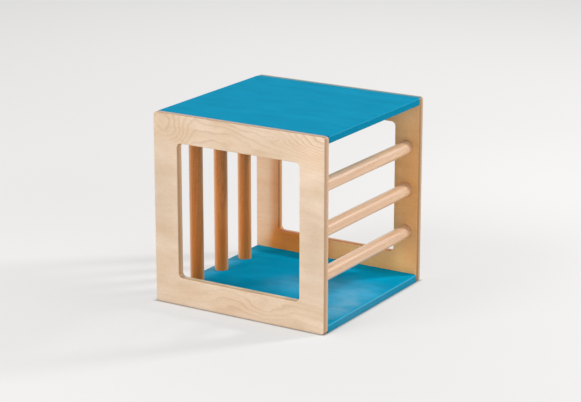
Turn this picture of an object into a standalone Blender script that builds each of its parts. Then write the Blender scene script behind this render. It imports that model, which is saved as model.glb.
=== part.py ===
"""Climbing cube: two plywood side panels with windows, two blue boards and six beech bars.

The cube stands on the floor, +Z up, with its origin under its centre. X runs along the side
panels, from the side with the vertical bars (-X) to the side with the horizontal bars (+X). The
front panel faces -Y and the rear panel faces +Y. Glued beech dowels, out of sight, join the boards
to the panels, and every bar ends in blind sockets. All lengths are in metres.
"""

import math
from dataclasses import dataclass

import bmesh
import bpy
from mathutils import Matrix, Vector

# Driving dimensions
CUBE_SIDE = 0.500
PLY_THICKNESS = 0.021
PANEL_CORNER_RADIUS = 0.008
WINDOW_WIDTH = 0.358
WINDOW_HEIGHT = 0.354
WINDOW_CORNER_RADIUS = 0.012
EDGE_EASING = 0.0025
BAR_DIAMETER = 0.036
BAR_INSET = 0.035
UPRIGHT_BAR_PLACES = ("front", "middle", "rear")
LEVEL_BAR_PLACES = ("lower", "middle", "upper")
SOCKET_DEPTH = 0.012
DOWEL_DIAMETER = 0.010
DOWEL_LENGTH = 0.038
DOWEL_DEPTH_IN_PANEL = 0.012
DOWELS_PER_JOINT = 4
DOWEL_SPACING = 0.130
DOWEL_FLUTES = 8
DOWEL_FLUTE_DEPTH = 0.0003
END_CHAMFER = 0.001
GLUE_GAP = 0.0003

# How finely the round shapes are divided
CORNER_STEPS = 6
EASING_SEGMENTS = 3
BAR_SIDES = 48
DOWEL_SIDES = 2 * DOWEL_FLUTES
SMOOTH_ANGLE = math.radians(32)

# Directions
UPWARDS = Vector((0, 0, 1))
FRONT_TO_REAR = Vector((0, 1, 0))

# Lengths that follow from the driving dimensions
HALF_SIDE = CUBE_SIDE / 2
CLEAR_SPAN = CUBE_SIDE - 2 * PLY_THICKNESS
BOARD_LENGTH = CLEAR_SPAN - 2 * GLUE_GAP
BAR_LENGTH = CLEAR_SPAN + 2 * SOCKET_DEPTH
BAR_OFFSET = HALF_SIDE - BAR_INSET
PANEL_CENTRE = HALF_SIDE - PLY_THICKNESS / 2
BOTTOM_BOARD_CENTRE = PLY_THICKNESS / 2
TOP_BOARD_CENTRE = CUBE_SIDE - PLY_THICKNESS / 2
DOWEL_CENTRE = HALF_SIDE - PLY_THICKNESS + DOWEL_DEPTH_IN_PANEL - DOWEL_LENGTH / 2


@dataclass(frozen=True)
class Finish:
    """The colour and surface of one kind of wood."""

    name: str
    colour: tuple
    roughness: float


@dataclass(frozen=True)
class RoundPiece:
    """A bar or dowel: its name, middle, the direction of its axis, its size and its sides."""

    name: str
    centre: tuple
    axis: Vector
    diameter: float
    length: float
    sides: int
    flute_depth: float = 0.0


BIRCH_PLYWOOD = Finish("varnished_birch_plywood", (0.78, 0.61, 0.45), 0.42)
BLUE_STAIN = Finish("blue_stained_plywood", (0.012, 0.300, 0.480), 0.36)
BEECH = Finish("varnished_beech", (0.70, 0.44, 0.26), 0.40)
DOWEL_BEECH = Finish("raw_beech", (0.62, 0.42, 0.26), 0.70)


def clear_scene():
    """Removes every object, so that the file holds only the cube."""
    for scene_object in list(bpy.data.objects):
        bpy.data.objects.remove(scene_object, do_unlink=True)


def make_material(finish):
    """A Principled BSDF in the finish's colour and roughness."""
    material = bpy.data.materials.new(finish.name)
    material.use_nodes = True
    shader = material.node_tree.nodes["Principled BSDF"]
    shader.inputs["Base Color"].default_value = (*finish.colour, 1.0)
    shader.inputs["Roughness"].default_value = finish.roughness
    shader.inputs["Metallic"].default_value = 0.0
    material.diffuse_color = (*finish.colour, 1.0)
    return material


def add_object(name, bm, material, parent):
    """Turns the bmesh into a named object with smooth round faces and crisp arrises."""
    bmesh.ops.recalc_face_normals(bm, faces=bm.faces)
    mesh = bpy.data.meshes.new(name)
    bm.to_mesh(mesh)
    bm.free()
    mesh.shade_smooth()
    mesh.set_sharp_from_angle(angle=SMOOTH_ANGLE)
    mesh.materials.append(material)
    part = bpy.data.objects.new(name, mesh)
    bpy.context.scene.collection.objects.link(part)
    part.parent = parent
    return part


def rounded_rectangle(width, height, radius):
    """Points (x, z) round a rectangle whose corners are quarter circles, anticlockwise."""
    points = []
    for quarter in range(4):
        middle = math.radians(45 + 90 * quarter)
        corner_x = math.copysign(width / 2 - radius, math.cos(middle))
        corner_z = math.copysign(height / 2 - radius, math.sin(middle))
        for step in range(CORNER_STEPS + 1):
            angle = math.radians(90 * (quarter + step / CORNER_STEPS))
            points.append((corner_x + radius * math.cos(angle), corner_z + radius * math.sin(angle)))
    return points


def add_outline(bm, points, y):
    """A closed loop of edges through the points, in the plane at y."""
    verts = [bm.verts.new((x, y, z)) for x, z in points]
    return [bm.edges.new((vert, verts[(index + 1) % len(verts)])) for index, vert in enumerate(verts)]


def extrude_along_y(bm, faces, distance):
    """Extrudes the faces into a closed solid that runs from where they lie to +Y."""
    extruded = bmesh.ops.extrude_face_region(bm, geom=faces, use_keep_orig=True)
    moved = [item for item in extruded["geom"] if isinstance(item, bmesh.types.BMVert)]
    bmesh.ops.translate(bm, verts=moved, vec=(0, distance, 0))


def make_side_panel(name, y, material, parent):
    """A square plywood panel with rounded corners, a large window and eased arrises."""
    bm = bmesh.new()
    face_y = -PLY_THICKNESS / 2
    outline = add_outline(bm, rounded_rectangle(CUBE_SIDE, CUBE_SIDE, PANEL_CORNER_RADIUS), face_y)
    window = add_outline(bm, rounded_rectangle(WINDOW_WIDTH, WINDOW_HEIGHT, WINDOW_CORNER_RADIUS), face_y)
    frame = bmesh.ops.bridge_loops(bm, edges=outline + window)
    extrude_along_y(bm, frame["faces"], PLY_THICKNESS)
    panel = add_object(name, bm, material, parent)
    panel.location = (0, y, HALF_SIDE)
    easing = panel.modifiers.new("eased_arrises", "BEVEL")
    easing.width = EDGE_EASING
    easing.segments = EASING_SEGMENTS
    easing.limit_method = "ANGLE"
    easing.angle_limit = math.radians(60)
    return panel


def make_board(name, z, material, parent):
    """A blue board as wide as the cube, between the panels, with its two long edges eased."""
    bm = bmesh.new()
    outline = add_outline(bm, rounded_rectangle(CUBE_SIDE, PLY_THICKNESS, EDGE_EASING), -BOARD_LENGTH / 2)
    end_face = bmesh.ops.contextual_create(bm, geom=outline)
    extrude_along_y(bm, end_face["faces"], BOARD_LENGTH)
    board = add_object(name, bm, material, parent)
    board.location = (0, 0, z)
    return board


def add_turned_solid(bm, radii, heights, sides, flute_depth=0.0):
    """A solid turned round Z, with one ring of vertices for each radius and height.

    A flute depth above zero draws in every second vertex, which leaves grooves along the piece.
    """
    rings = []
    for radius, height in zip(radii, heights):
        ring = []
        for side in range(sides):
            angle = 2 * math.pi * side / sides
            reach = radius - flute_depth * (side % 2)
            ring.append(bm.verts.new((reach * math.cos(angle), reach * math.sin(angle), height)))
        rings.append(ring)
    for lower, upper in zip(rings, rings[1:]):
        for side in range(sides):
            following = (side + 1) % sides
            bm.faces.new((lower[side], lower[following], upper[following], upper[side]))
    bm.faces.new(reversed(rings[0]))
    bm.faces.new(rings[-1])
    return [vert for ring in rings for vert in ring]


def along_axis(piece):
    """The rotation that lays a solid turned round Z along the piece's axis."""
    return UPWARDS.rotation_difference(piece.axis)


def make_round_piece(piece, material, parent):
    """A bar or dowel with a small chamfer at both ends."""
    bm = bmesh.new()
    radius = piece.diameter / 2
    half = piece.length / 2
    radii = (radius - END_CHAMFER, radius, radius, radius - END_CHAMFER)
    heights = (-half, END_CHAMFER - half, half - END_CHAMFER, half)
    add_turned_solid(bm, radii, heights, piece.sides, piece.flute_depth)
    part = add_object(piece.name, bm, material, parent)
    part.rotation_euler = along_axis(piece).to_euler()
    part.location = piece.centre


def make_bores(pieces, material, parent):
    """The sockets and holes of every bar and dowel, as one cutter with room for the glue."""
    bm = bmesh.new()
    for piece in pieces:
        radius = (piece.diameter / 2 + GLUE_GAP) / math.cos(math.pi / piece.sides)
        half = piece.length / 2 + GLUE_GAP
        verts = add_turned_solid(bm, (radius, radius), (-half, half), piece.sides)
        placement = Matrix.Translation(piece.centre) @ along_axis(piece).to_matrix().to_4x4()
        bmesh.ops.transform(bm, matrix=placement, verts=verts)
    cutter = add_object("joinery_bores", bm, material, parent)
    cutter.hide_render = True
    cutter.display_type = "WIRE"
    return cutter


def cut_bores(part, cutter):
    """Cuts the sockets and holes out of a panel or board."""
    cut = part.modifiers.new("joinery_bores", "BOOLEAN")
    cut.operation = "DIFFERENCE"
    cut.solver = "EXACT"
    cut.object = cutter


def spread(count):
    """Places of the bars' centre lines from the middle, which divide the clear span evenly."""
    pitch = CLEAR_SPAN / (count + 1)
    return [(index - (count - 1) / 2) * pitch for index in range(count)]


def describe_bar(name, centre, axis):
    """A bar that runs through the clear span and into a socket at each end."""
    return RoundPiece(name, centre, axis, BAR_DIAMETER, BAR_LENGTH, BAR_SIDES)


def describe_bars():
    """Upright bars near the -X edge and level bars near the +X edge."""
    bars = []
    for place, y in zip(UPRIGHT_BAR_PLACES, spread(len(UPRIGHT_BAR_PLACES))):
        bars.append(describe_bar(f"upright_bar_{place}", (-BAR_OFFSET, y, HALF_SIDE), UPWARDS))
    for place, z in zip(LEVEL_BAR_PLACES, spread(len(LEVEL_BAR_PLACES))):
        bars.append(describe_bar(f"level_bar_{place}", (BAR_OFFSET, 0, HALF_SIDE + z), FRONT_TO_REAR))
    return bars


def describe_dowels():
    """A row of dowels along each of the four joints between a board's end and a panel."""
    dowels = []
    for panel, y in (("front", -DOWEL_CENTRE), ("rear", DOWEL_CENTRE)):
        for board, z in (("bottom", BOTTOM_BOARD_CENTRE), ("top", TOP_BOARD_CENTRE)):
            for index in range(DOWELS_PER_JOINT):
                dowel = RoundPiece(
                    name=f"dowel_{panel}_{board}_{index + 1}",
                    centre=((index - (DOWELS_PER_JOINT - 1) / 2) * DOWEL_SPACING, y, z),
                    axis=FRONT_TO_REAR,
                    diameter=DOWEL_DIAMETER,
                    length=DOWEL_LENGTH,
                    sides=DOWEL_SIDES,
                    flute_depth=DOWEL_FLUTE_DEPTH,
                )
                dowels.append(dowel)
    return dowels


def build_cube():
    """Builds the panels and boards, the bars and dowels that join them, and cuts their sockets."""
    clear_scene()
    plywood = make_material(BIRCH_PLYWOOD)
    blue = make_material(BLUE_STAIN)
    beech = make_material(BEECH)
    raw_beech = make_material(DOWEL_BEECH)

    cube = bpy.data.objects.new("climbing_cube", None)
    bpy.context.scene.collection.objects.link(cube)

    bars = describe_bars()
    dowels = describe_dowels()
    bores = make_bores(bars + dowels, beech, cube)
    flat_parts = [
        make_side_panel("front_panel", -PANEL_CENTRE, plywood, cube),
        make_side_panel("rear_panel", PANEL_CENTRE, plywood, cube),
        make_board("bottom_board", BOTTOM_BOARD_CENTRE, blue, cube),
        make_board("top_board", TOP_BOARD_CENTRE, blue, cube),
    ]
    for part in flat_parts:
        cut_bores(part, bores)
    for bar in bars:
        make_round_piece(bar, beech, cube)
    for dowel in dowels:
        make_round_piece(dowel, raw_beech, cube)


if __name__ == "__main__":
    build_cube()
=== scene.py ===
"""Dresses the climbing cube in varnished birch plywood, blue stain and beech, in a pale studio.

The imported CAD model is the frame: every piece takes its place and its size from it. The panels,
boards and bars are rebuilt here as fine surfaces that stand for their CAD nodes and keep the same
sockets and dowel holes. The dowels, out of sight in the joints, stay as they are and get their
wood. All lengths are in metres, +Z is up, and the front panel faces -Y.
"""

import logging
import math
from dataclasses import dataclass, replace
from enum import Enum
from typing import Any

import bmesh
import bpy
import numpy as np
from bpy.types import Material, Mesh, Node, NodeSocket, Object, World
from mathutils import Matrix, Vector


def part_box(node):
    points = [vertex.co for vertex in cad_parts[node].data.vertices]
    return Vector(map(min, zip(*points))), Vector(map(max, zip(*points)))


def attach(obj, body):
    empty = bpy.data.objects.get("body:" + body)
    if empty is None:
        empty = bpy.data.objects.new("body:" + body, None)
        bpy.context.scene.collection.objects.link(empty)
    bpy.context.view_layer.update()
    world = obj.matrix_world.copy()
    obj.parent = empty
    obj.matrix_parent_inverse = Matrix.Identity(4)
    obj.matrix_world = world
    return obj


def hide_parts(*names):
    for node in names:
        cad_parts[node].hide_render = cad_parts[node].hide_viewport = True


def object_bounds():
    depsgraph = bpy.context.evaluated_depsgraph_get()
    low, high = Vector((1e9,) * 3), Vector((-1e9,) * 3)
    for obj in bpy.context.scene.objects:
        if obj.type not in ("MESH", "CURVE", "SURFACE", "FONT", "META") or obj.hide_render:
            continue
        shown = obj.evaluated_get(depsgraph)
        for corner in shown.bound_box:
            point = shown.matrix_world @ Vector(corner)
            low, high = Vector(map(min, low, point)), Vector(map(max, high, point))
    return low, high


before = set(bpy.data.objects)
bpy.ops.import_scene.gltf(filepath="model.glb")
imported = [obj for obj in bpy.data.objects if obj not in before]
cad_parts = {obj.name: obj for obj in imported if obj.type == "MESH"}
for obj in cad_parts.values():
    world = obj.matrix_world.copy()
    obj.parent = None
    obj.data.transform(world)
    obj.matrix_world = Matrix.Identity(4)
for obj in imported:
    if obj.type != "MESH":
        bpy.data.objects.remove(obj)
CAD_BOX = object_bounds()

BODY = "root"
CUBE_MIDDLE = (Vector(CAD_BOX[0]) + Vector(CAD_BOX[1])) / 2

# Sockets and holes are this much wider and deeper than what sits in them, as in the CAD
GLUE_GAP = 0.0003

# How finely the surfaces are divided: steps round a corner, along a side and over an arris, sides
# and rings of a bar and of a gap in the plies, and the angle where a gap's first ring starts. An
# extra ring of points, the shading loop, lies this far from an arris, so that flat faces look flat.
# An edge that turns more than the sharp angle stays crisp.
ROUND_STEPS = 14
SIDE_STEPS = 10
EASING_STEPS = 8
BAR_SIDES = 128
BAR_RINGS = 24
GAP_SIDES = 16
GAP_RINGS = 9
GAP_START = 0.02
SHADING_LOOP = 0.0006
SHARP_ANGLE = math.radians(30)

# Satin varnish: its IOR, how far the fibres change its roughness, and the relief that it leaves
VARNISH_IOR = 1.5
ROUGHNESS_SPREAD = 0.05
RELIEF_STRENGTH = 0.08
RELIEF_DEPTH = 0.0002

# A surface's points, three numbers each, and the point numbers of its faces
Surface = tuple[np.ndarray, list[list[int]]]

# What the mode of a node sets, by the node's type
MODES = dict(Math="operation", VectorMath="operation", Mix="data_type", MapRange="interpolation_type")

log = logging.getLogger("climbing_cube")


class Axis(Enum):
    """A direction of the cube, with its number among X, Y and Z."""

    X = 0
    Y = 1
    Z = 2


# Node trees


def linear(hex_colour: str) -> tuple[float, float, float, float]:
    """Turns an sRGB hex colour, such as #EBD5BD, into linear red, green and blue, and opacity 1."""
    channels = [int(hex_colour[place:place + 2], 16) / 255 for place in (1, 3, 5)]
    return (*(c / 12.92 if c <= 0.04045 else ((c + 0.055) / 1.055) ** 2.4 for c in channels), 1.0)


@dataclass(frozen=True)
class Spot:
    """A soft oval place on a face: its middle, its reach each way, and how much it adds there."""

    along: float
    across: float
    length: float
    width: float
    amount: float


@dataclass(frozen=True)
class Figure:
    """A cloudy pattern in wood, drawn out along the grain.

    along and across are how long a cloud is with the grain and across it, detail is how many finer
    layers it has, and shift is a distance, in clouds, that makes two patterns differ.
    """

    along: float
    across: float
    detail: float
    shift: float = 0.0


class Tree:
    """The nodes of a material or of the world."""

    def __init__(self, owner: Material | World) -> None:
        """Gives the owner an empty node tree.

        Args:
            owner: the material or world.
        """
        owner.use_nodes = True
        self.nodes = owner.node_tree.nodes
        self.links = owner.node_tree.links
        self.nodes.clear()

    def add(self, kind: str, inputs: Any = (), **settings: Any) -> Node:
        """Adds a node, with its settings and what goes into it.

        Args:
            kind: the node's type, without the words ShaderNode before it, and its mode.
            inputs: what feeds the inputs in use, in their order, or by their names. Each is a value,
                a hex colour, a socket, or a node, which stands for its first output in use.
            settings: the node's own properties.

        Returns:
            The node.
        """
        kind, _, mode = kind.partition(" ")
        node = self.nodes.new("ShaderNode" + kind)
        if mode:
            settings[MODES[kind]] = mode
        for name, value in settings.items():
            setattr(node, name, value)
        if not isinstance(inputs, dict):
            in_use = [place for place, socket in enumerate(node.inputs) if socket.enabled]
            inputs = dict(zip(in_use, inputs))
        for name, value in inputs.items():
            if isinstance(value, Node):
                value = next(output for output in value.outputs if output.enabled)
            if isinstance(value, NodeSocket):
                self.links.new(value, node.inputs[name])
            else:
                node.inputs[name].default_value = linear(value) if isinstance(value, str) else value
        return node

    def draw(self, figure: Figure, point: Any, grain: Axis | None = None) -> Node:
        """Draws a pattern: the point is divided by the size of a cloud and looked up in a noise.

        Args:
            figure: the pattern.
            point: the point.
            grain: which of its coordinates runs along the grain. Without it the point is given by
                its places along and across the grain and the number of its ply.

        Returns:
            The noise, about 0 to 1.
        """
        size = (figure.along, figure.across, 1.0)
        if grain is not None:
            size = tuple(figure.along if axis is grain else figure.across for axis in Axis)
        scale = tuple(1 / length for length in size)
        shift = (0.0, 0.0, figure.shift)
        cloud = self.add("Mapping", {"Vector": point, "Location": shift, "Scale": scale})
        return self.add("TexNoise", {"Vector": cloud, "Scale": 1.0, "Detail": figure.detail})

    def offset(self, point: Any, middle: tuple[float, ...], reach: tuple[float, ...]) -> Node:
        """How far a place lies from a middle, as shares of a reach.

        Args:
            point: the place, along and across.
            middle: the middle.
            reach: the reach each way.

        Returns:
            A node that gives (point - middle) / reach.
        """
        scale = (1 / reach[0], 1 / reach[1], 0.0)
        shift = (-middle[0] / reach[0], -middle[1] / reach[1], 0.0)
        return self.add("VectorMath MULTIPLY_ADD", [point, scale, shift])

    def add_spots(self, point: Any, spots: tuple[Spot, ...], start: Any) -> Any:
        """Adds soft oval places to a value.

        A spot adds its amount times a smooth step, from 1 at its middle to 0 at its rim, where the
        offset is 1 long.

        Args:
            point: the place, along and across.
            spots: the places.
            start: what they are added to.

        Returns:
            What gives the sum.
        """
        total = start
        for spot in spots:
            offset = self.offset(point, (spot.along, spot.across), (spot.length, spot.width))
            distance = self.add("VectorMath LENGTH", [offset])
            swell = self.add("MapRange SMOOTHSTEP", [distance, 0.0, 1.0, spot.amount, 0.0])
            total = self.add("Math ADD", [total, swell])
        return total

    def box_reach(self, point: Any, middle: tuple[float, ...], half: tuple[float, ...]) -> Node:
        """How far a place is from a rectangle's middle to its rim: the greater of its two offsets.

        Args:
            point: the place, along and across.
            middle: the rectangle's middle.
            half: half its size each way.

        Returns:
            A node that gives 0 in the middle and 1 on the rim.
        """
        size = self.add("VectorMath ABSOLUTE", [self.offset(point, middle, half)])
        along, across, _ = self.add("SeparateXYZ", [size]).outputs
        return self.add("Math MAXIMUM", [along, across])

    def seen_directly(self) -> Node:
        """Tells what is seen, straight or in a reflection, from light on its way to the object.

        Returns:
            A node that gives 1 for camera, glossy and transmission rays, and 0 for the rest.
        """
        rays = self.add("LightPath").outputs
        either = self.add("Math MAXIMUM", [rays["Is Camera Ray"], rays["Is Glossy Ray"]])
        return self.add("Math MAXIMUM", [either, rays["Is Transmission Ray"]])


# Finishes


# Figures of birch veneer: what bends the contour lines, where they show, the clouds of its colour,
# and the wipes of its polish. The real fibres are 0.3 mm apart and the real pores 0.1 mm wide, so
# both are drawn coarser, to show.
BROAD_WAVES = Figure(along=0.25, across=0.11, detail=1.5)
SMALL_WAVES = Figure(along=0.04, across=0.015, detail=1.0, shift=2.2)
CLEARINGS = Figure(along=0.2, across=0.12, detail=1.0, shift=3.1)
VENEER_CLOUDS = Figure(along=0.11, across=0.042, detail=3.0, shift=5.7)
VENEER_FIBRES = Figure(along=0.014, across=0.0011, detail=2.0, shift=8.3)
PORES = Figure(along=0.006, across=0.0008, detail=0.0, shift=11.9)
WIPES = Figure(along=0.05, across=0.03, detail=3.0, shift=14.2)

# Figures of beech. The real rays and fibres are about half as wide.
GROWTH = Figure(along=0.6, across=0.045, detail=1.0)
BEECH_CLOUDS = Figure(along=0.17, across=0.017, detail=2.0)
BEECH_FIBRES = Figure(along=0.017, across=0.0009, detail=2.0)
RAYS = Figure(along=0.0045, across=0.0007, detail=0.0)


@dataclass(frozen=True)
class Wood:
    """What the woods have in common: their colours and their varnish.

    The colour drifts between pale and band, and fibres and marks lie over it in the mark colour.
    specular is the shine of the wood itself, and coat that of the varnish on it.
    """

    name: str
    pale: str
    band: str
    mark: str
    roughness: float
    specular: float
    coat: float
    coat_roughness: float

    def drawn(self, tree: Tree, drift: Any, fibre: Any, marks: tuple[Any, ...]) -> Any:
        """The wood's colour. A fibre is as dark as its noise is far from its middle.

        Args:
            tree: the material's tree.
            drift: the share of the band colour.
            fibre: the fibres.
            marks: how dark each kind of mark is.

        Returns:
            The colour.
        """
        streak = tree.add("Math ABSOLUTE", [tree.add("Math SUBTRACT", [fibre, 0.5])])
        colour = tree.add("Mix RGBA", [drift, self.pale, self.band])
        for amount in (*marks, streak):
            colour = tree.add("Mix RGBA", [amount, colour, self.mark])
        return colour

    def varnish(self, tree: Tree, colour: Any, fibre: Any, relief: Any, coat: Any) -> None:
        """Ends a tree in the varnished surface.

        Args:
            tree: the material's tree.
            colour: the wood's colour.
            fibre: the fibres, which are a little rougher than what lies between them.
            relief: how high the surface stands.
            coat: how much varnish there is.
        """
        spread = (self.roughness - ROUGHNESS_SPREAD, self.roughness + ROUGHNESS_SPREAD)
        raised = {"Height": relief, "Strength": RELIEF_STRENGTH, "Distance": RELIEF_DEPTH}
        shader = tree.add("BsdfPrincipled", {
            "Base Color": colour,
            "Roughness": tree.add("MapRange", [fibre, 0.0, 1.0, *spread]),
            "Normal": tree.add("Bump", raised),
            "IOR": VARNISH_IOR,
            "Specular IOR Level": self.specular,
            "Coat Weight": coat,
            "Coat Roughness": self.coat_roughness,
        })
        tree.add("OutputMaterial", [shader])


class Stack(Tree):
    """The tree of a plywood material, and where a point lies in the stack of plies.

    face is the place on the face and rise its second coordinate, the height on a side panel. grain
    is the place along and across the grain, with the number of the ply. depth counts plies from
    the side with the lower coordinate, and inwards goes from 0 on the cube's outer side to 1 on its
    inner side. glue, on_edge and end_grain are shares.
    """

    def __init__(self, material: Material, wood: "Plywood", node: str) -> None:
        """Works out where a point lies in the plies.

        Odd plies are crossed: their grain runs the other way. A point is on an edge where the
        share of its normal that still faces out has fallen through edge_turn. The depth keeps a
        hundredth of a ply from its ends, so that a face is never counted as past them.

        Args:
            material: the material that takes the tree.
            wood: the plywood.
            node: the node whose box gives where the stack starts and ends.
        """
        super().__init__(material)
        low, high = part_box(node)
        place = wood.thickness_axis.value
        wide = 2 if wood.thickness_axis is Axis.Y else 1
        sides = (low[place], high[place])
        self.thickness = sides[1] - sides[0]
        inner, outer = sorted(sides, key=lambda side: abs(side - CUBE_MIDDLE[place]))
        where = self.add("TexCoord").outputs
        point = self.add("SeparateXYZ", [where["Object"]]).outputs
        normal = self.add("SeparateXYZ", [where["Normal"]]).outputs
        self.rise = point[wide]
        self.face = self.add("CombineXYZ", [point[0], self.rise, 0.0])
        self.inwards = self.add("MapRange", [point[place], outer, inner, 0.0, 1.0])
        self.depth = self.add("MapRange", [point[place], *sides, 0.01, wood.ply_count - 0.01])
        ply = self.add("Math FLOOR", [self.depth])
        crossed = self.add("Math MODULO", [ply, 2.0])
        layer = self.add("Math MULTIPLY_ADD", [ply, wood.ply_shift, wood.seed])
        straight = self.add("CombineXYZ", [point[0], self.rise, layer])
        turned_round = self.add("CombineXYZ", [self.rise, point[0], layer])
        self.grain = self.add("Mix VECTOR", [crossed, straight, turned_round])
        from_glue = self.add("Math PINGPONG", [self.add("Math FRACT", [self.depth]), 0.5])
        self.glue = self.add("MapRange", [from_glue, wood.glue_line, 0.0, 0.0, wood.glue_shade])
        facing = self.add("Math ABSOLUTE", [normal[place]])
        self.on_edge = self.add("MapRange", [facing, *wood.edge_turn, 0.0, 1.0])
        butt = self.add("Math ABSOLUTE", [self.add("Mix", [crossed, normal[0], normal[wide]])])
        self.end_grain = self.add("MapRange", [butt, 0.15, 0.85, 0.0, 1.0])


@dataclass(frozen=True)
class Plywood(Wood):
    """Birch plywood, 15 rotary-cut plies of 1.4 mm, sanded and varnished, or stained and varnished.

    The face is pale and silky. Where the knife crossed the growth rings it shows wavy contour
    lines, 5 to 20 mm apart, and it has soft clouds and short fibres. A cut edge shows the plies in
    turn, long grain pale and end grain brown. The grain of the face runs along X.

    A growth ring comes each ring_pitch across the grain, and the waves bend it by broad_bend and
    small_bend rings. swirls turn the lines round a place, and clearness brings them out.
    light_and_tone lightens or darkens places: painted light and shade, with some of the wood's own
    colour changes. polish adds to the gloss. bounce_light and glow redden the inner face: painted
    bounce light, thrown from wood to wood. With an inner bounce tint, light_and_tone too is kept to
    the inner face.

    reveal and sill are the long and end grain's colours in the window's cut edges, all round and
    below sill_height behind the arris. They are painted light: lighter than the outer edges on the
    front panel, where little light reaches them, and deeper orange on the rear panel, for bounce
    light. edge_turn tells how far the surface turns from the face before the plies show. A glue
    line darkens glue_line of a ply by glue_shade, and edge_light_and_shade darkens the plies at the
    front and lightens those at the rear, a painted shade and light. arris_highlight lightens the
    arris, a painted highlight, and stain_lap is how far the top board's stain runs over the joint
    onto the panel's top, above top_edge.
    """

    thickness_axis: Axis
    seed: float
    edge_long: str
    edge_end: str
    ply_count: int = 15
    ply_shift: float = 0.37
    ring_pitch: float = 0.022
    broad_bend: float = 6.0
    small_bend: float = 0.9
    plain_clearness: float = 0.1
    swirls: tuple[Spot, ...] = ()
    clearness: tuple[Spot, ...] = ()
    light_and_tone: tuple[Spot, ...] = ()
    polish: tuple[Spot, ...] = ()
    bounce_light: tuple[Spot, ...] = ()
    glow: tuple[Spot, ...] = ()
    inner_bounce_tint: str = ""
    bounce_tint: str = "#FFFFFF"
    deep_bounce_tint: str = "#FFFFFF"
    reveal: tuple[str, ...] = ()
    sill: tuple[str, ...] = ()
    window_half: float = 0.19
    sill_height: tuple[float, float] = (0.075, 0.08)
    edge_turn: tuple[float, float] = (0.85, 0.45)
    glue_line: float = 0.1
    glue_shade: float = 0.5
    edge_light_and_shade: float = 0.0
    arris_highlight: float = 0.0
    arris_highlight_tint: str = "#9CCBDD"
    stain: str = "#0E82A4"
    stain_lap: float = 0.0
    top_edge: tuple[float, float] = (0.497, 0.4982)

    def contours(self, stack: Stack) -> Node:
        """The growth rings' contour lines.

        A phase grows by one for each ring pitch across the grain, and the waves and the swirls bend
        it. Each ring darkens slowly and ends in a short line.

        Args:
            stack: the material's tree.

        Returns:
            How dark the line is, 0 to 1.
        """
        across = stack.add("SeparateXYZ", [stack.grain]).outputs[1]
        phase = stack.add("Math DIVIDE", [across, self.ring_pitch])
        for waves, bend in ((BROAD_WAVES, self.broad_bend), (SMALL_WAVES, self.small_bend)):
            noise = stack.draw(waves, stack.grain)
            phase = stack.add("Math MULTIPLY_ADD", [noise, bend, phase])
        phase = stack.add_spots(stack.face, self.swirls, phase)
        line = stack.add("ValToRGB", [stack.add("Math FRACT", [phase])])
        ramp = line.color_ramp
        for place, value in ((0.55, 0.18), (0.86, 1.0)):
            ramp.elements.new(place).color = (value, value, value, 1.0)
        ramp.elements[-1].color = (0.0, 0.0, 0.0, 1.0)
        clear = stack.add("MapRange", [stack.draw(CLEARINGS, stack.grain), 0.35, 0.68, 0.3, 1.0])
        strength = stack.add_spots(stack.face, self.clearness, self.plain_clearness)
        strength = stack.add("Math MULTIPLY", [strength, clear])
        return stack.add("Math MULTIPLY", [line, strength], use_clamp=True)

    def veneer(self, stack: Stack, line: Any, fibre: Any) -> Node:
        """The colour of the face: clouds under lines, small dark dashes of pores, and fibres.

        Args:
            stack: the material's tree.
            line: the contour lines.
            fibre: the fibres.

        Returns:
            The colour.
        """
        cloud = stack.add("MapRange", [stack.draw(VENEER_CLOUDS, stack.grain), 0.3, 0.7, 0.0, 1.0])
        pore = stack.add("MapRange", [stack.draw(PORES, stack.grain), 0.7, 0.8, 0.0, 0.35])
        colour = self.drawn(stack, cloud, fibre, (line, pore))
        # Painted light and shade in soft spots, with some of the wood's own colour changes
        change = stack.add_spots(stack.face, self.light_and_tone, 0.0)
        if self.inner_bounce_tint:
            change = stack.add("Math MULTIPLY", [change, stack.inwards])
        light = stack.add("Math ADD", [change, 1.0])
        return stack.add("VectorMath SCALE", [colour, light])

    def with_painted_bounce(self, stack: Stack, colour: Any) -> Any:
        """Paints bounce light, thrown from wood to wood, into the inner side of a panel as a red tint.

        Args:
            stack: the material's tree.
            colour: the wood's colour.

        Returns:
            The colour, reddened through the middle plies and full at the inner ones.
        """
        if not self.inner_bounce_tint:
            return colour
        tint = self.inner_bounce_tint
        # Painted bounce light: the spots deepen the red tint where more of it falls
        for spots, deeper in ((self.bounce_light, self.bounce_tint), (self.glow, self.deep_bounce_tint)):
            amount = stack.add_spots(stack.face, spots, 0.0)
            tint = stack.add("Mix RGBA", [amount, tint, deeper])
        inner = stack.add("MapRange", [stack.inwards, 0.3, 0.7, 0.0, 1.0])
        return stack.add("Mix RGBA", [inner, colour, tint], blend_type="MULTIPLY")

    def cut_edge(self, stack: Stack, fibre: Any) -> Node:
        """The colour of a cut edge: plies of long and end grain in turn, between brown glue lines.

        Args:
            stack: the material's tree.
            fibre: the fibres.

        Returns:
            The colour.
        """
        long, end = self.edge_long, self.edge_end
        tinted = []
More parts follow.
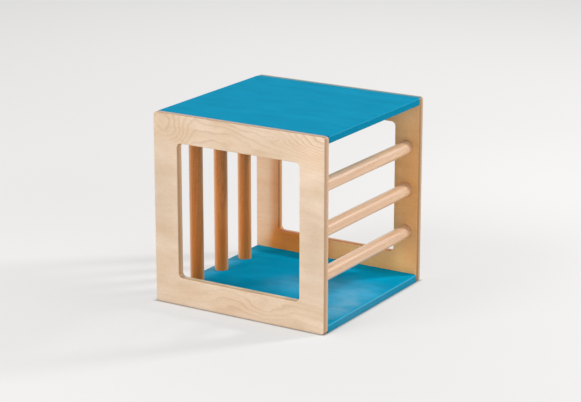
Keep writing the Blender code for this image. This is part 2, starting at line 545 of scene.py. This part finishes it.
        # Painted light in the window: its cut edges take colours of their own
        if self.reveal:
            half = (self.window_half, self.window_half)
            reach = stack.box_reach(stack.face, (CUBE_MIDDLE.x, CUBE_MIDDLE.z), half)
            inside = stack.add("MapRange", [reach, 1.0, 1.05, 1.0, 0.0])
            tinted.append((inside, self.reveal))
            if self.sill:
                low_down = stack.add("MapRange", [stack.rise, *self.sill_height, 1.0, 0.0])
                behind_arris = stack.add("MapRange", [stack.inwards, 0.12, 0.3, 0.0, 1.0])
                at_foot = stack.add("Math MULTIPLY", [low_down, behind_arris])
                tinted.append((stack.add("Math MULTIPLY", [inside, at_foot]), self.sill))
        for share, colours in tinted:
            long = stack.add("Mix RGBA", [share, long, colours[0]])
            end = stack.add("Mix RGBA", [share, end, colours[1]])
        colour = stack.add("Mix RGBA", [stack.end_grain, long, end])
        soft = stack.add("Math MULTIPLY", [fibre, 0.35])
        for amount in (soft, stack.glue):
            colour = stack.add("Mix RGBA", [amount, colour, end])
        # Painted shade and light across the plies: darker at the front, lighter at the rear, where the
        # light falls on the rear arris
        third = self.ply_count / 3
        rise = [stack.depth, third, 2 * third, 1 - self.edge_light_and_shade, 1 + self.edge_light_and_shade]
        shade = stack.add("MapRange SMOOTHSTEP", rise)
        return stack.add("VectorMath SCALE", [colour, shade])

    def trim(self, stack: Stack, colour: Any) -> Any:
        """Adds a painted highlight on the arris, and what the maker's hand leaves on a joint.

        The painted highlight is lightest halfway round the arris. The stain from the top board lies on
        the panel's top edge, from the joint outwards as far as stain_lap, and fades out over 6% of the
        thickness.

        Args:
            stack: the material's tree.
            colour: the wood's colour.

        Returns:
            The colour with both.
        """
        # Painted highlight on the arris, lightest halfway round
        if self.arris_highlight:
            halfway = stack.add("Math PINGPONG", [stack.on_edge, 0.5])
            amount = stack.add("Math MULTIPLY", [halfway, 2 * self.arris_highlight])
            colour = stack.add("Mix RGBA", [amount, colour, self.arris_highlight_tint])
        if self.stain_lap:
            on_top = stack.add("MapRange", [stack.rise, *self.top_edge, 0.0, 1.0])
            start = 1 - self.stain_lap / stack.thickness
            near = stack.add("MapRange", [stack.inwards, start - 0.03, start + 0.03, 0.0, 1.0])
            amount = stack.add("Math MULTIPLY", [on_top, near])
            colour = stack.add("Mix RGBA", [amount, colour, self.stain])
        return colour

    def material(self, node: str) -> Material:
        """Builds the wood for a piece that stands for a node.

        Args:
            node: the node whose box gives where the stack of plies starts and ends.

        Returns:
            The material.
        """
        material = bpy.data.materials.new(self.name)
        stack = Stack(material, self, node)
        fibre = stack.draw(VENEER_FIBRES, stack.grain)
        line = self.contours(stack)
        wood = [stack.on_edge, self.veneer(stack, line, fibre), self.cut_edge(stack, fibre)]
        colour = stack.add("Mix RGBA", wood)
        relief = stack.add("Math MULTIPLY_ADD", [line, 0.4, fibre])
        coat = self.coat
        if self.polish:
            polished = stack.add_spots(stack.face, self.polish, 0.0)
            coat = stack.add("Math MULTIPLY_ADD", [polished, stack.draw(WIPES, stack.grain), coat])
        self.varnish(stack, self.trim(stack, self.with_painted_bounce(stack, colour)), fibre, relief, coat)
        return material


@dataclass(frozen=True)
class Beech(Wood):
    """Steamed beech, turned or planed: an even pinkish brown with short dark flecks.

    The growth rings show as soft long lines that arch along the bar, and the rays as flecks a few
    millimetres long. The grain runs along the piece. rim is a painted sheen: a paler colour mixed in
    towards the outline, where the eye meets the varnish at a slant. sheen_turn tells how slanting the
    look is where it starts and where it is full, and sheen_share how much it takes. foot_light_tint is
    painted light: a warmer colour that fades out upwards between the two foot_heights, against the
    blue light that the floor board throws up.
    """

    ring_count: float = 16.0
    rim: str = ""
    sheen_share: float = 0.0
    sheen_turn: tuple[float, float] = (0.15, 0.6)
    foot_light_tint: str = ""
    foot_light_share: float = 0.0
    foot_heights: tuple[float, float] = (0.02, 0.30)

    def material(self, node: str) -> Material:
        """Builds the wood: rings that come and go over the growth, clouds, flecks and fibres.

        Args:
            node: the node whose longest side is the way of the grain.

        Returns:
            The material.
        """
        material = bpy.data.materials.new(self.name)
        tree = Tree(material)
        point = tree.add("TexCoord").outputs["Object"]
        grain = RoundStock.of_node(node).axis
        figures = (GROWTH, BEECH_CLOUDS, BEECH_FIBRES, RAYS)
        growth, clouds, fibre, rays = (tree.draw(figure, point, grain) for figure in figures)
        phase = tree.add("Math MULTIPLY", [growth, self.ring_count])
        there_and_back = tree.add("Math PINGPONG", [phase, 0.5])
        ring = tree.add("MapRange SMOOTHSTEP", [there_and_back, 0.0, 0.5, 0.0, 1.0])
        cloud = tree.add("Math MULTIPLY", [clouds, 0.6])
        drift = tree.add("Math MULTIPLY_ADD", [ring, 0.35, cloud])
        fleck = tree.add("MapRange", [rays, 0.66, 0.74, 0.0, 0.5])
        colour = self.drawn(tree, drift, fibre, (fleck,))
        # Painted light low on the bar: a warmer colour against the floor board's blue bounce
        if self.foot_light_tint:
            height = tree.add("SeparateXYZ", [point]).outputs["Z"]
            share = tree.add("MapRange", [height, *self.foot_heights, self.foot_light_share, 0.0])
            colour = tree.add("Mix RGBA", [share, colour, self.foot_light_tint])
        # Painted sheen: paler towards the outline, where the look is slanting
        if self.rim:
            slant = tree.add("LayerWeight", [0.5]).outputs["Facing"]
            share = tree.add("MapRange SMOOTHSTEP", [slant, *self.sheen_turn, 0.0, self.sheen_share])
            colour = tree.add("Mix RGBA", [share, colour, self.rim])
        self.varnish(tree, colour, fibre, fibre, self.coat)
        return material


# Surfaces


def outline_rule(width: float, height: float, radius: float) -> tuple[np.ndarray, np.ndarray]:
    """The rule of a rounded rectangle: the points that its rim keeps its distance from.

    A point of the rim is its centre plus the radius times its normal. The centre runs round the
    inner rectangle of the four corner centres, and stands still while the normal turns a quarter
    at each corner. An inset rim has a smaller radius and the same centres and normals.

    Args:
        width: the rectangle's full width.
        height: its full height.
        radius: the radius of its corners.

    Returns:
        The centres and the normals, two numbers a point, anticlockwise from the right side's top.
    """
    straight = np.linspace(0.0, 1.0, SIDE_STEPS + 1)
    straight[1] = SHADING_LOOP / min(width, height)
    straight[-2] = 1.0 - straight[1]
    turning = np.concatenate([np.linspace(0.0, 1.0, ROUND_STEPS + 1), np.ones(SIDE_STEPS - 1)])
    travel = np.concatenate([np.zeros(ROUND_STEPS + 1), straight[1:-1]])
    quarter = np.arange(4)[:, None]
    angles = (quarter + turning[None, :]) * math.pi / 2
    normals = np.stack([np.cos(angles), np.sin(angles)], axis=-1)
    reach = np.array([width / 2 - radius, height / 2 - radius])
    corners = np.array([[1, 1], [-1, 1], [-1, -1], [1, -1]]) * reach
    onward = np.roll(corners, -1, axis=0)
    centres = corners[:, None, :] + travel[None, :, None] * (onward - corners)[:, None, :]
    return centres.reshape(-1, 2), normals.reshape(-1, 2)


def ring_quads(rows: int, columns: int, rows_closed: bool) -> list[list[int]]:
    """Quads of a grid whose columns run round in a ring.

    The quad at (r, c) joins it to (r, c + 1), (r + 1, c + 1) and (r + 1, c), where the column after
    the last is the first, and so is the row after the last if the rows close too.

    Args:
        rows: rings of points.
        columns: points in a ring.
        rows_closed: whether the last ring joins the first.

    Returns:
        Four point numbers for each quad.
    """
    row = np.arange(rows if rows_closed else rows - 1)[:, None]
    column = np.arange(columns)[None, :]
    row_after = (row + 1) % rows
    column_after = (column + 1) % columns
    around = ((row, column), (row, column_after), (row_after, column_after), (row_after, column))
    corners = [r * columns + c for r, c in around]
    return np.stack(corners, axis=-1).reshape(-1, 4).tolist()


def closed_tube(rings: np.ndarray) -> Surface:
    """A closed skin over rings of points, with a flat face over the first and the last ring.

    Args:
        rings: points by ring and place in the ring, three numbers each.

    Returns:
        The surface.
    """
    rows, columns = rings.shape[:2]
    faces = ring_quads(rows, columns, rows_closed=False)
    faces.append(list(range(columns))[::-1])
    faces.append(list(range((rows - 1) * columns, rows * columns)))
    return rings.reshape(-1, 3), faces


def circle(sides: int) -> np.ndarray:
    """Points round a circle of radius 1: at an angle a, a point is (cos a, sin a, 0)."""
    angles = np.arange(sides) * 2 * math.pi / sides
    return np.stack([np.cos(angles), np.sin(angles), np.zeros(sides)], axis=-1)


def turned(radii: np.ndarray, heights: np.ndarray, sides: int) -> Surface:
    """A closed solid turned round Z: each ring is a circle times its radius, plus its height up."""
    rings = radii[:, None, None] * circle(sides) + heights[:, None, None] * np.array([0.0, 0.0, 1.0])
    return closed_tube(rings)


def stood_up(flat: np.ndarray, depths: np.ndarray, centre: Vector) -> np.ndarray:
    """Stands flat points upright: (centre x + first number, depth, centre z + second number)."""
    x, z = centre.x + flat[..., 0], centre.z + flat[..., 1]
    return np.stack(np.broadcast_arrays(x, depths, z), axis=-1)


def make_object(name: str, surface: Surface) -> Object:
    """A named object at the origin, with its faces outwards and its round faces smooth.

    Args:
        name: the object's name.
        surface: its points, in place, and its faces.

    Returns:
        The object.
    """
    mesh = bpy.data.meshes.new(name)
    mesh.from_pydata(surface[0].tolist(), [], surface[1])
    bm = bmesh.new()
    bm.from_mesh(mesh)
    bmesh.ops.recalc_face_normals(bm, faces=bm.faces)
    bm.to_mesh(mesh)
    bm.free()
    smooth(mesh)
    made = bpy.data.objects.new(name, mesh)
    bpy.context.scene.collection.objects.link(made)
    return made


def smooth(mesh: Mesh) -> None:
    """Shades round faces smooth and keeps real corners crisp."""
    mesh.shade_smooth()
    mesh.set_sharp_from_angle(angle=SHARP_ANGLE)


def cut(piece: Object, solids: list[Surface]) -> Object:
    """Cuts closed solids out of a piece and keeps the result as its mesh.

    Args:
        piece: the piece that loses material.
        solids: the solids, none touching another.

    Returns:
        The piece.
    """
    points = np.concatenate([solid[0] for solid in solids])
    starts = np.cumsum([0] + [len(solid[0]) for solid in solids])
    faces = [[start + point for point in face] for start, solid in zip(starts, solids) for face in solid[1]]
    cutter = make_object(piece.name + "_cutter", (points, faces))
    modifier = piece.modifiers.new("holes", "BOOLEAN")
    modifier.operation = "DIFFERENCE"
    modifier.solver = "EXACT"
    modifier.object = cutter
    evaluated = piece.evaluated_get(bpy.context.evaluated_depsgraph_get())
    holed = bpy.data.meshes.new_from_object(evaluated)
    piece.modifiers.clear()
    piece.data = holed
    bpy.data.objects.remove(cutter, do_unlink=True)
    smooth(holed)
    return piece


# Pieces


@dataclass(frozen=True)
class RoundStock:
    """A bar or dowel as its CAD node gives it: where it lies, along what, and how big it is."""

    centre: Vector
    axis: Axis
    diameter: float
    length: float

    @classmethod
    def of_node(cls, node: str) -> "RoundStock":
        """Reads the piece from its node's box, whose longest side is its length.

        Args:
            node: the node.

        Returns:
            The piece.
        """
        low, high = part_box(node)
        size = high - low
        axis = Axis(max(range(3), key=lambda place: size[place]))
        return cls((low + high) / 2, axis, sorted(size)[1], size[axis.value])

    def solid(self, slack: float = 0.0, chamfer: float = 0.0, rings: int = 2) -> Surface:
        """The turned solid: a straight run between two chamfered ends.

        It is turned round Z, and its coordinates change places in a cycle to lay it along its axis.

        Args:
            slack: how far it is let out all round, for the hole that the piece sits in.
            chamfer: the width of the chamfer at its ends.
            rings: rings of points on the straight run.

        Returns:
            The surface, in place.
        """
        radius = self.diameter / 2 + slack
        half = self.length / 2 + slack
        run = np.linspace(chamfer - half, half - chamfer, rings)
        heights = np.concatenate([[-half], run, [half]]) if chamfer else run
        radii = np.full(len(heights), radius)
        radii[[0, -1]] -= chamfer
        points, faces = turned(radii, heights, BAR_SIDES)
        return np.roll(points, self.axis.value + 1, axis=1) + np.array(self.centre), faces


@dataclass(frozen=True)
class CoreGap:
    """A gap in a ply, a small dark slot in a cut edge: its centre and its size."""

    centre: tuple[float, float, float]
    size: tuple[float, float, float]

    def solid(self) -> Surface:
        """An ellipsoid: the radii and heights of a half circle, turned and stretched to the size.

        Returns:
            The surface, in place.
        """
        angle = np.linspace(GAP_START, math.pi - GAP_START, GAP_RINGS)
        points, faces = turned(np.sin(angle), -np.cos(angle), GAP_SIDES)
        return points * np.array(self.size) / 2 + np.array(self.centre), faces


@dataclass(frozen=True)
class Piece:
    """A piece of the cube that stands for a CAD node, in its wood."""

    node: str
    slot: str
    wood: Plywood | Beech

    def build(self) -> Object:
        """Keeps the CAD node as it is, for a piece whose shape is right."""
        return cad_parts[self.node]

    def dress(self, made: Object) -> None:
        """Gives the piece its wood, and puts a new piece in its node's place.

        Args:
            made: the piece's object.
        """
        wood = bpy.data.materials.get(self.wood.name) or self.wood.material(self.node)
        made.data.materials.clear()
        made.data.materials.append(wood)
        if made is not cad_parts[self.node]:
            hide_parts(self.node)
            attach(made, BODY)
        log.info("%s: %d faces, %s", self.node, len(made.data.polygons), wood.name)


@dataclass(frozen=True)
class PlyPiece(Piece):
    """A piece of plywood, with its sockets and dowel holes and the gaps in its plies."""

    gaps: tuple[CoreGap, ...] = ()

    def bored(self, surface: Surface) -> Object:
        """Makes the piece from its surface and cuts its gaps, and holes for all the round stock."""
        holes = [stock.solid(GLUE_GAP) for stock in JOINERY] + [gap.solid() for gap in self.gaps]
        return cut(make_object(self.node + "_ply", surface), holes)


@dataclass(frozen=True)
class SidePanel(PlyPiece):
    """A plywood side panel with its window and eased arrises."""

    window_width: float = 0.358
    window_height: float = 0.354
    window_radius: float = 0.012
    corner_radius: float = 0.008
    arris: float = 0.0025

    def section(self, thickness: float) -> tuple[np.ndarray, np.ndarray, np.ndarray]:
        """The panel's cross-section between its outer edge and its window, as a closed path.

        Each arris is a quarter circle: at an angle a from the face, a point is set in from the edge
        by r(1 - sin a) and from the face by r(1 - cos a).

        Args:
            thickness: the panel's thickness.

        Returns:
            For each ring, which rim it follows (0 outer, 1 window), its inset and its depth.
        """
        angle = np.linspace(0.0, math.pi / 2, EASING_STEPS + 1)
        inset = self.arris * (1 - np.sin(angle))
        depth = self.arris * (1 - np.cos(angle))
        flat = np.full(2, self.arris + SHADING_LOOP)
        front, back = np.zeros(2), np.full(2, thickness)
        along = np.ones(2 * len(angle))
        far = thickness - depth
        rims = np.concatenate([[0.0, 1.0], along, [1.0, 0.0], 0 * along])
        insets = np.concatenate([flat, inset, inset[::-1], flat, inset, inset[::-1]])
        depths = np.concatenate([front, depth, far[::-1], back, far, depth[::-1]])
        return rims, insets, depths

    def build(self) -> Object:
        """Carries the section round the panel as one closed ring and cuts its holes.

        Returns:
            The panel.
        """
        low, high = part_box(self.node)
        centre = (low + high) / 2
        outer = outline_rule(high.x - low.x, high.z - low.z, self.corner_radius)
        window = outline_rule(self.window_width, self.window_height, self.window_radius)
        rims, insets, depths = (values[:, None, None] for values in self.section(high.y - low.y))
        on_outer = outer[0] + (self.corner_radius - insets) * outer[1]
        on_window = window[0] + (self.window_radius + insets) * window[1]
        flat = on_outer * (1 - rims) + on_window * rims
        grid = stood_up(flat, low.y + depths[:, :, 0], centre)
        quads = ring_quads(*grid.shape[:2], rows_closed=True)
        return self.bored((grid.reshape(-1, 3), quads))


@dataclass(frozen=True)
class Board(PlyPiece):
    """A blue board between the panels, with two rounded long edges."""

    arris: float = 0.0055
    lower_arris: float = 0.0055

    def build(self) -> Object:
        """Carries a rounded rectangle from the front end to the rear end and cuts the holes.

        The upper half of the rectangle follows the rule with the arris as its radius, and the
        lower half the rule with the lower arris.

        Returns:
            The board.
        """
        low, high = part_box(self.node)
        centre = (low + high) / 2
        width, _, height = high - low
        rules = ((radius, outline_rule(width, height, radius)) for radius in (self.arris, self.lower_arris))
        upper, lower = (centres + radius * normals for radius, (centres, normals) in rules)
        profile = np.where(upper[:, 1:] > 0.0, upper, lower)
        depths = np.linspace(low.y, high.y, SIDE_STEPS + 1)[:, None]
        return self.bored(closed_tube(stood_up(profile[None], depths, centre)))


@dataclass(frozen=True)
class Bar(Piece):
    """A turned beech bar with chamfered ends."""

    chamfer: float = 0.001

    def build(self) -> Object:
        """Turns the bar."""
        solid = RoundStock.of_node(self.node).solid(chamfer=self.chamfer, rings=BAR_RINGS)
        return make_object(self.node + "_beech", solid)


# Studio


@dataclass(frozen=True)
class SoftBox:
    """A square lamp that lights the middle of the cube from a direction.

    The bearing turns from +X towards +Y, the height is above the floor, and level is the share of
    full light that it gives a surface square to it.
    """

    name: str
    bearing: float
    height: float
    side: float
    level: float
    distance: float = 5.0

    def build(self) -> None:
        """Hangs the lamp and turns it to the cube."""
        bearing, height = math.radians(self.bearing), math.radians(self.height)
        flat = math.cos(height)
        towards = Vector((math.cos(bearing) * flat, math.sin(bearing) * flat, math.sin(height)))
        lamp = bpy.data.lights.new(self.name, "AREA")
        lamp.size = self.side
        lamp.energy = self.level * (math.pi * self.distance) ** 2
        holder = bpy.data.objects.new(self.name, lamp)
        holder.visible_camera = False
        holder.location = CUBE_MIDDLE + towards * self.distance
        holder.rotation_euler = (-towards).to_track_quat("-Z", "Y").to_euler()
        bpy.context.scene.collection.objects.link(holder)


@dataclass(frozen=True)
class Studio:
    """The pale floor, the lamps, the plain surroundings and the camera."""

    lamps: tuple[SoftBox, ...]
    surroundings: float
    floor_colour: str
    backdrop_colour: str
    floor_light_patches: tuple[Spot, ...]
    floor_evenness: float = 0.6
    floor_radius: float = 8.0
    floor_sides: int = 96
    contact_shade: float = 0.55
    lens_mm: float = 123.329
    far_clip: float = 100.0
    eye: tuple[float, float, float] = (2.58085, -4.19485, 1.6914)
    azimuth: float = 31.596
    pitch: float = 16.395
    roll: float = 0.043

    def make_camera(self) -> None:
        """Stands the camera, with its 36 mm sensor, where the photograph's edges put it."""
        camera = bpy.data.cameras.new("camera")
        camera.lens = self.lens_mm
        camera.clip_end = self.far_clip
        holder = bpy.data.objects.new("camera", camera)
        angles = ((self.azimuth, "Z"), (90 - self.pitch, "X"), (self.roll, "Z"))
        turn, tilt, lean = (Matrix.Rotation(math.radians(angle), 4, axis) for angle, axis in angles)
        holder.matrix_world = Matrix.Translation(self.eye) @ turn @ tilt @ lean
        bpy.context.scene.collection.objects.link(holder)
        bpy.context.scene.camera = holder

    def make_floor(self) -> None:
        """Lays a round pale floor, whose rim is a circle times its radius.

        A share of it shows its own colour wherever it is seen, with brighter and darker patches of
        painted light, and the rest takes the light, so that it keeps the object's shadow. The share falls
        to nothing over the last 12 mm before the cube, and over the last 8 mm the floor darkens by
        contact_shade, a painted contact shadow.
        """
        rim = circle(self.floor_sides) * self.floor_radius
        mesh = bpy.data.meshes.new("floor")
        mesh.from_pydata(rim.tolist(), [], [list(range(self.floor_sides))])
        floor = bpy.data.objects.new("floor", mesh)
        bpy.context.scene.collection.objects.link(floor)
        material = bpy.data.materials.new("pale_paper_floor")
        tree = Tree(material)
        place = tree.add("TexCoord").outputs["Object"]
        away = tree.box_reach(place, CUBE_MIDDLE[:2], CAD_BOX[1][:2])
        # Painted light: brighter and darker patches on the floor's own colour
        light_and_tone = tree.add_spots(place, self.floor_light_patches, 1.0)
        glow = tree.add("Emission", [self.backdrop_colour, light_and_tone])
        # Painted contact shadow: darker within 8 mm of the cube
        contact = tree.add("MapRange", [away, 1.0, 1.03, self.contact_shade, 1.0])
        colour = tree.add("VectorMath SCALE", [linear(self.floor_colour)[:3], contact])
        paper = tree.add("BsdfDiffuse", [colour])
        even = tree.add("MapRange", [away, 1.0, 1.05, 0.0, self.floor_evenness])
        share = tree.add("Math MULTIPLY", [tree.seen_directly(), even])
        tree.add("OutputMaterial", [tree.add("MixShader", [share, paper, glow])])
        mesh.materials.append(material)

    def make_world(self) -> None:
        """Gives an even light from all round, and the backdrop's own colour where it is seen."""
        world = bpy.data.worlds.new("studio")
        bpy.context.scene.world = world
        tree = Tree(world)
        light = tree.add("Background", ["#FFFFFF", self.surroundings])
        backdrop = tree.add("Background", [self.backdrop_colour, 1.0])
        tree.add("OutputWorld", [tree.add("MixShader", [tree.seen_directly(), light, backdrop])])

    def build(self) -> None:
        """Sets up the studio."""
        self.make_camera()
        self.make_floor()
        self.make_world()
        for lamp in self.lamps:
            lamp.build()
            log.info("%s: level %.2f", lamp.name, lamp.level)
        bpy.context.scene.view_settings.view_transform = "Standard"


STUDIO = Studio(
    lamps=(
        SoftBox("key_right_behind", bearing=47, height=33, side=0.7, level=0.6),
        SoftBox("fill_front_left", bearing=-115, height=43, side=2.0, level=0.385),
        SoftBox("top_right", bearing=15, height=60, side=2.0, level=0.14),
        SoftBox("wall_front", bearing=-58, height=20, side=3.0, level=0.14),
        SoftBox("wall_left", bearing=-155, height=20, side=3.0, level=0.24),
    ),
    surroundings=0.355,
    floor_colour="#E9E8E6",
    backdrop_colour="#EEEDED",
    # Painted light on the floor: brighter and darker patches where the studio's light falls more and less
    floor_light_patches=(
        Spot(-1.6, 2.8, 2.6, 2.2, 0.11),
        Spot(0.0, 1.3, 0.8, 0.8, 0.05),
        Spot(-1.0, 0.3, 0.8, 0.8, -0.05),
        Spot(0.3, -0.4, 0.9, 0.7, -0.07),
    ),
)

# Varnished birch: the lacquer is thin and satin, so it gives a soft sheen and no mirror
BIRCH = Plywood(
    name="varnished_birch_plywood",
    thickness_axis=Axis.Y,
    seed=0.0,
    pale="#EBD5BD",
    band="#DFC2A3",
    mark="#B38A65",
    edge_long="#D2AE8B",
    edge_end="#AC8361",
    roughness=0.42,
    specular=0.4,
    coat=0.2,
    coat_roughness=0.18,
    # Painted shade on the front plies of a cut edge and painted light on the rear ones
    edge_light_and_shade=0.16,
    stain_lap=0.0075,
)
# The front panel's figure: arcs round the upper left corner, lines that fall to the right along
# the top rail, a small island, a fan of close lines at the upper right, calm stiles
FRONT_BIRCH = replace(
    BIRCH,
    name="varnished_birch_plywood_front",
    # Painted light: the window's cut edges, and the sill below, lighter than the outer edges, for the
    # little light that reaches them
    reveal=("#FFCF9C", "#D9A274"),
    sill=("#E2D1AF", "#C0A482"),
    swirls=(
        Spot(-0.223, 0.468, 0.11, 0.11, 6.0),
        Spot(0.28, 0.5, 0.42, 0.16, 4.5),
        Spot(0.25, 0.505, 0.13, 0.095, 3.0),
        Spot(0.114, 0.48, 0.045, 0.014, -1.2),
        Spot(0.08, 0.035, 0.08, 0.04, 1.6),
    ),
    clearness=(
        Spot(-0.223, 0.468, 0.13, 0.1, 0.45),
        Spot(0.0, 0.47, 0.28, 0.08, 0.6),
        Spot(0.23, 0.47, 0.13, 0.11, 0.55),
        Spot(0.06, 0.04, 0.26, 0.065, 0.5),
    ),
    # Painted light and shade: lighter at the upper right, where more light falls, with some of the veneer's
    # own colour changes
    light_and_tone=(
        Spot(0.23, 0.45, 0.12, 0.12, 0.15),
        Spot(0.225, 0.32, 0.03, 0.04, 0.04),
        Spot(0.05, 0.03, 0.35, 0.09, 0.1),
        Spot(-0.24, 0.3, 0.1, 0.22, -0.11),
        Spot(0.215, 0.2, 0.05, 0.18, -0.09),
    ),
)
# The rear panel shows its inner face: calmer, less shiny, and deeper in colour through painted
# bounce light, a red tint for the light thrown from wood to wood. Its paler base colours are painted
# light too, where the inner face lies in shade.
REAR_BIRCH = replace(
    BIRCH,
    name="varnished_birch_plywood_rear",
    pale="#F7DEC0",
    band="#F0D0AC",
    seed=40.0,
    inner_bounce_tint="#FFF1E8",
    bounce_tint="#FFD9A2",
    deep_bounce_tint="#FFB25E",
    edge_long="#C0A888",
    edge_end="#9C7E60",
    # Painted bounce light: the window's cut edges deeper orange
    reveal=("#D8AD78", "#B68250"),
    stain="#0E7B91",
    specular=0.25,
    coat=0.08,
    stain_lap=0.013,
    edge_light_and_shade=0.21,
    # Painted bounce light: where the red tint deepens, and glow where it deepens most
    bounce_light=(
        Spot(0.25, 0.25, 0.48, 0.6, 0.95),
        Spot(0.0, 0.0, 0.5, 0.13, 0.5),
    ),
    glow=(
        Spot(-0.11, 0.035, 0.125, 0.12, 2.2),
        Spot(-0.2, 0.02, 0.06, 0.06, 0.45),
        Spot(0.12, 0.03, 0.22, 0.1, 0.18),
        Spot(0.02, 0.06, 0.1, 0.07, 0.45),
        Spot(-0.185, 0.17, 0.03, 0.3, 0.65),
        Spot(0.23, 0.07, 0.07, 0.08, 0.2),
    ),
    # Painted light: the inner face lightened where it lies in shade, by the floor board and the bars
    light_and_tone=(
        Spot(0.12, 0.04, 0.3, 0.14, 0.5),
        Spot(0.035, 0.055, 0.09, 0.07, 0.6),
        Spot(0.205, 0.05, 0.045, 0.05, 0.26),
        Spot(-0.24, 0.06, 0.11, 0.12, 0.12),
        Spot(-0.14, 0.035, 0.06, 0.06, 0.18),
        Spot(-0.18, 0.25, 0.035, 0.3, -0.06),
        Spot(0.195, 0.25, 0.02, 0.3, 0.09),
        Spot(0.215, 0.43, 0.06, 0.11, 0.16),
    ),
)
# Blue stain under satin varnish: the stain hides most of the figure and takes up the sheen
BLUE = Plywood(
    name="blue_stained_plywood_top",
    thickness_axis=Axis.Z,
    seed=90.0,
    pale="#0A90B4",
    band="#0386A9",
    mark="#00769A",
    # The cut edges are darker than the face: end grain takes more stain, and the side is painted darker for
    # its shade
    edge_long="#0288AD",
    edge_end="#007797",
    roughness=0.36,
    specular=0.0,
    coat=0.05,
    coat_roughness=0.25,
    edge_turn=(0.8, 0.15),
    # Painted highlight along the board's arris
    arris_highlight=0.08,
)
# The floor board's varnish is wiped dull in some places and polished in others, so the bright
# surroundings lie on it as a haze
FLOOR_BLUE = replace(
    BLUE,
    name="blue_stained_plywood_floor",
    seed=70.0,
    # Paler than the top board's stain: painted light on the floor board, which lies in the cube's shade
    pale="#029CC5",
    band="#0091B7",
    # The side's colours are paler and greyer than the stain's: a painted sheen
    edge_long="#2890B2",
    edge_end="#2084A4",
    coat=0.03,
    coat_roughness=0.28,
    # Painted highlight along the board's arris
    arris_highlight=0.22,
    polish=(
        Spot(0.15, 0.0, 0.18, 0.16, 0.9),
        Spot(0.0, -0.01, 0.09, 0.1, 0.8),
        Spot(-0.248, 0.0, 0.062, 0.28, 1.0),
        Spot(0.215, -0.12, 0.06, 0.13, 1.5),
        Spot(0.195, 0.0, 0.06, 0.11, 0.6),
    ),
    # Painted light: the floor board lightened where the bars and the top board shade it, and darkened a
    # little at the front right
    light_and_tone=(
        Spot(0.05, 0.21, 0.3, 0.09, 0.42),
        Spot(0.15, 0.02, 0.14, 0.14, 0.16),
        Spot(0.145, 0.145, 0.09, 0.08, 0.5),
        Spot(0.0, -0.01, 0.09, 0.1, 0.42),
        Spot(0.205, -0.08, 0.07, 0.12, -0.1),
    ),
)
# Steamed beech under the same varnish, a little glossier because it was turned smooth
BEECH = Beech(
    name="varnished_beech_level_bars",
    pale="#DDBB98",
    band="#CB9D78",
    mark="#8E5A38",
    roughness=0.4,
    specular=0.5,
    coat=0.55,
    coat_roughness=0.15,
    # Painted sheen at the outline
    rim="#F4C8A0",
    sheen_share=0.36,
    sheen_turn=(0.44, 0.62),
)
# The upright bars are a shaded copy of the level bars' beech: their darker, more orange colours
# are painted shade and painted orange light, thrown round from wood to wood inside the cube
SHADED_BEECH = replace(
    BEECH,
    name="varnished_beech_upright_bars",
    pale="#DA8F50",
    band="#BE7030",
    mark="#6C3314",
    coat=0.25,
    specular=0.15,
    rim="#E6C8A4",
    sheen_share=0.32,
    sheen_turn=(0.15, 0.6),
    # Painted light: warmer low down
    foot_light_tint="#F08A34",
    foot_light_share=0.5,
)
# Dowel stock isn't varnished, so it is dull
RAW_BEECH = replace(BEECH, name="raw_beech_dowels", roughness=0.75, coat=0.0, rim="")

# Gaps in the plies: two close together in the right edge, two in the top edge, one in the sill,
# and one in the floor board's right edge
FRONT_GAPS = (
    CoreGap((0.25, -0.245, 0.221), (0.003, 0.0016, 0.005)),
    CoreGap((0.25, -0.245, 0.2025), (0.003, 0.0016, 0.005)),
    CoreGap((-0.131, -0.2485, 0.4995), (0.007, 0.0016, 0.0024)),
    CoreGap((-0.094, -0.2485, 0.4995), (0.006, 0.0014, 0.002)),
    CoreGap((-0.062, -0.247, 0.073), (0.009, 0.0018, 0.002)),
)
BOTTOM_GAPS = (CoreGap((0.25, 0.02, 0.0105), (0.0024, 0.004, 0.0014)),)

PIECES = (
    SidePanel("front_panel", "birch_plywood", FRONT_BIRCH, gaps=FRONT_GAPS),
    SidePanel("rear_panel", "birch_plywood", REAR_BIRCH),
    Board("bottom_board", "blue_stained_plywood", FLOOR_BLUE, lower_arris=0.0015, gaps=BOTTOM_GAPS),
    Board("top_board", "blue_stained_plywood", BLUE),
    *(Bar(f"upright_bar_{place}", "varnished_beech", SHADED_BEECH) for place in ("front", "middle", "rear")),
    *(Bar(f"level_bar_{place}", "varnished_beech", BEECH) for place in ("lower", "middle", "upper")),
    *(Piece(node, "raw_beech", RAW_BEECH) for node in sorted(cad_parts) if node.startswith("dowel_")),
)
# The bars and dowels, which end in the panels and boards
JOINERY = tuple(RoundStock.of_node(piece.node) for piece in PIECES if not isinstance(piece, PlyPiece))


def main() -> None:
    """Builds the studio and the pieces, and reports each."""
    logging.basicConfig(level=logging.INFO, format="%(message)s")
    STUDIO.build()
    for piece in PIECES:
        piece.dress(piece.build())


if __name__ == "__main__":
    main()
